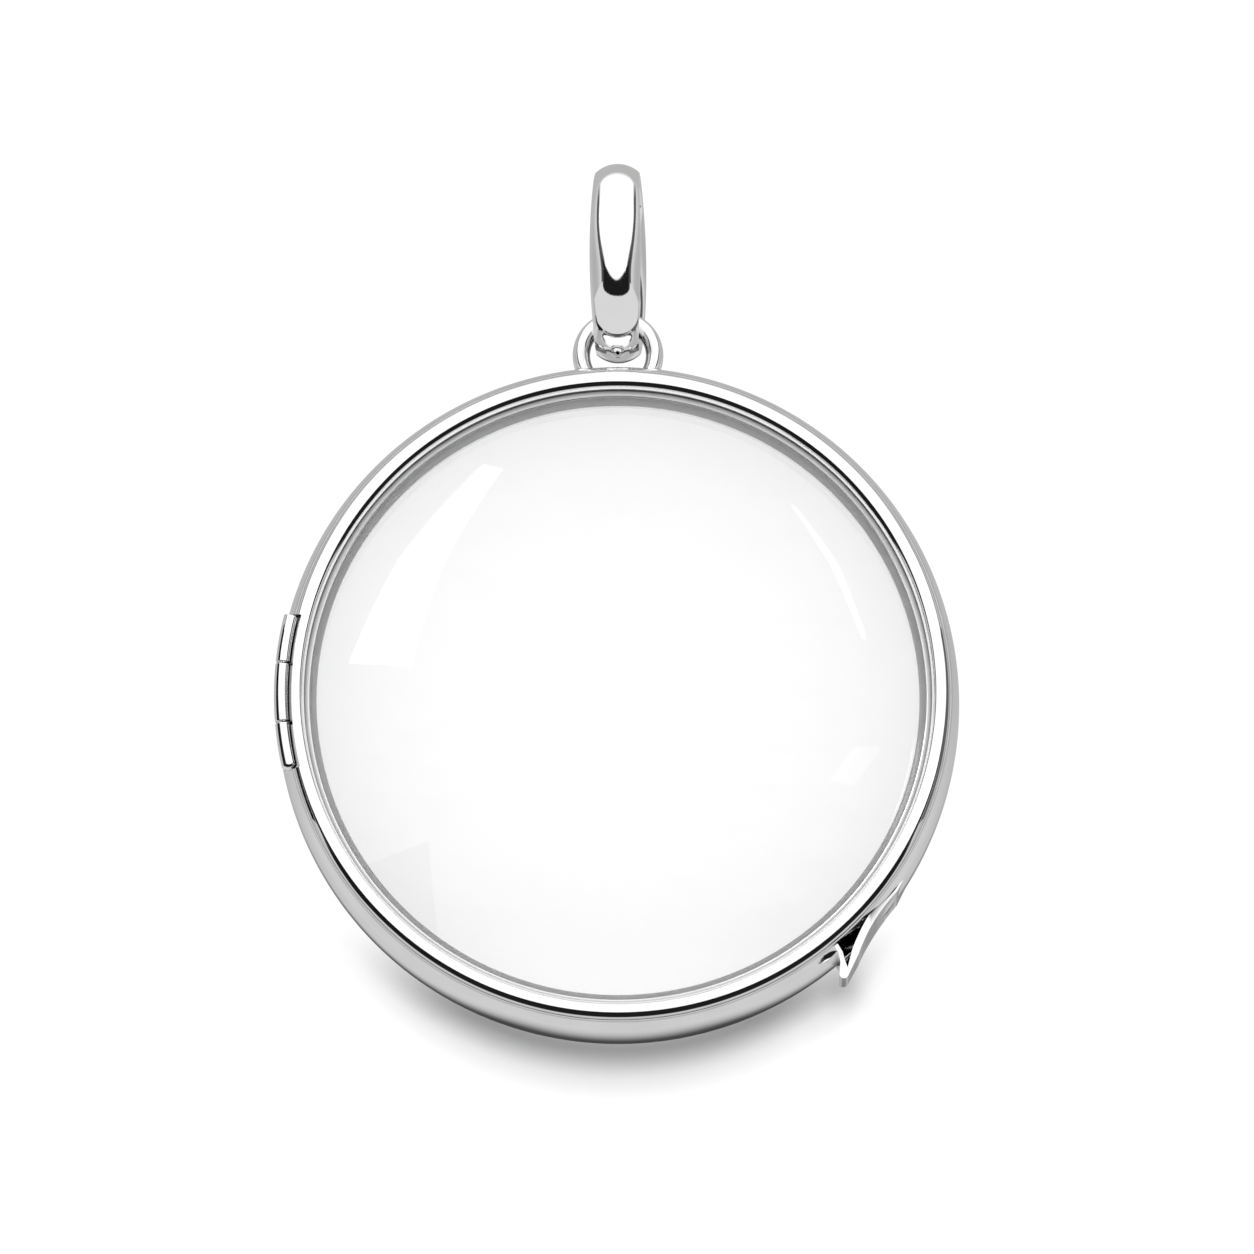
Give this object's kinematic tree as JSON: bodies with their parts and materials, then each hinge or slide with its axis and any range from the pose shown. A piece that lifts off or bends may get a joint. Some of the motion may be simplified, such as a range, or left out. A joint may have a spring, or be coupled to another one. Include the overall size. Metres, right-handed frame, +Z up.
{
  "type": "glass locket",
  "caption": "Round locket with domed glass front and back in a polished metal case that opens on a side hinge, hanging from a jump ring and an oval bail.",
  "frame": {"origin": "inner top of the bail, where the chain that carries the locket lies", "axes": "+Z up, -Y out of the locket's front glass, +X to the wearer's left, away from the hinge"},
  "size_m": [0.0301, 0.0078, 0.0393],
  "materials": {
    "silver": "high polish",
    "glass": "clear polished dome"
  },
  "bodies": {
    "bail": {"bail": "silver"},
    "case": {"case": "silver", "hinge_pin": "silver", "back_glass": "glass"},
    "lid": {"lid": "silver", "front_glass": "glass"}
  },
  "joints": [
    {"name": "case_swing", "type": "hinge", "parent": "bail", "child": "case", "pos_m": [0, 0, -0.00566], "axis": [1, 0, 0], "range_deg": [-45, 45]},
    {"name": "lid_hinge", "type": "hinge", "parent": "case", "child": "lid", "pos_m": [-0.01466, -0.002, -0.02295], "axis": [0, 0, -1], "range_deg": [0, 100]}
  ]
}
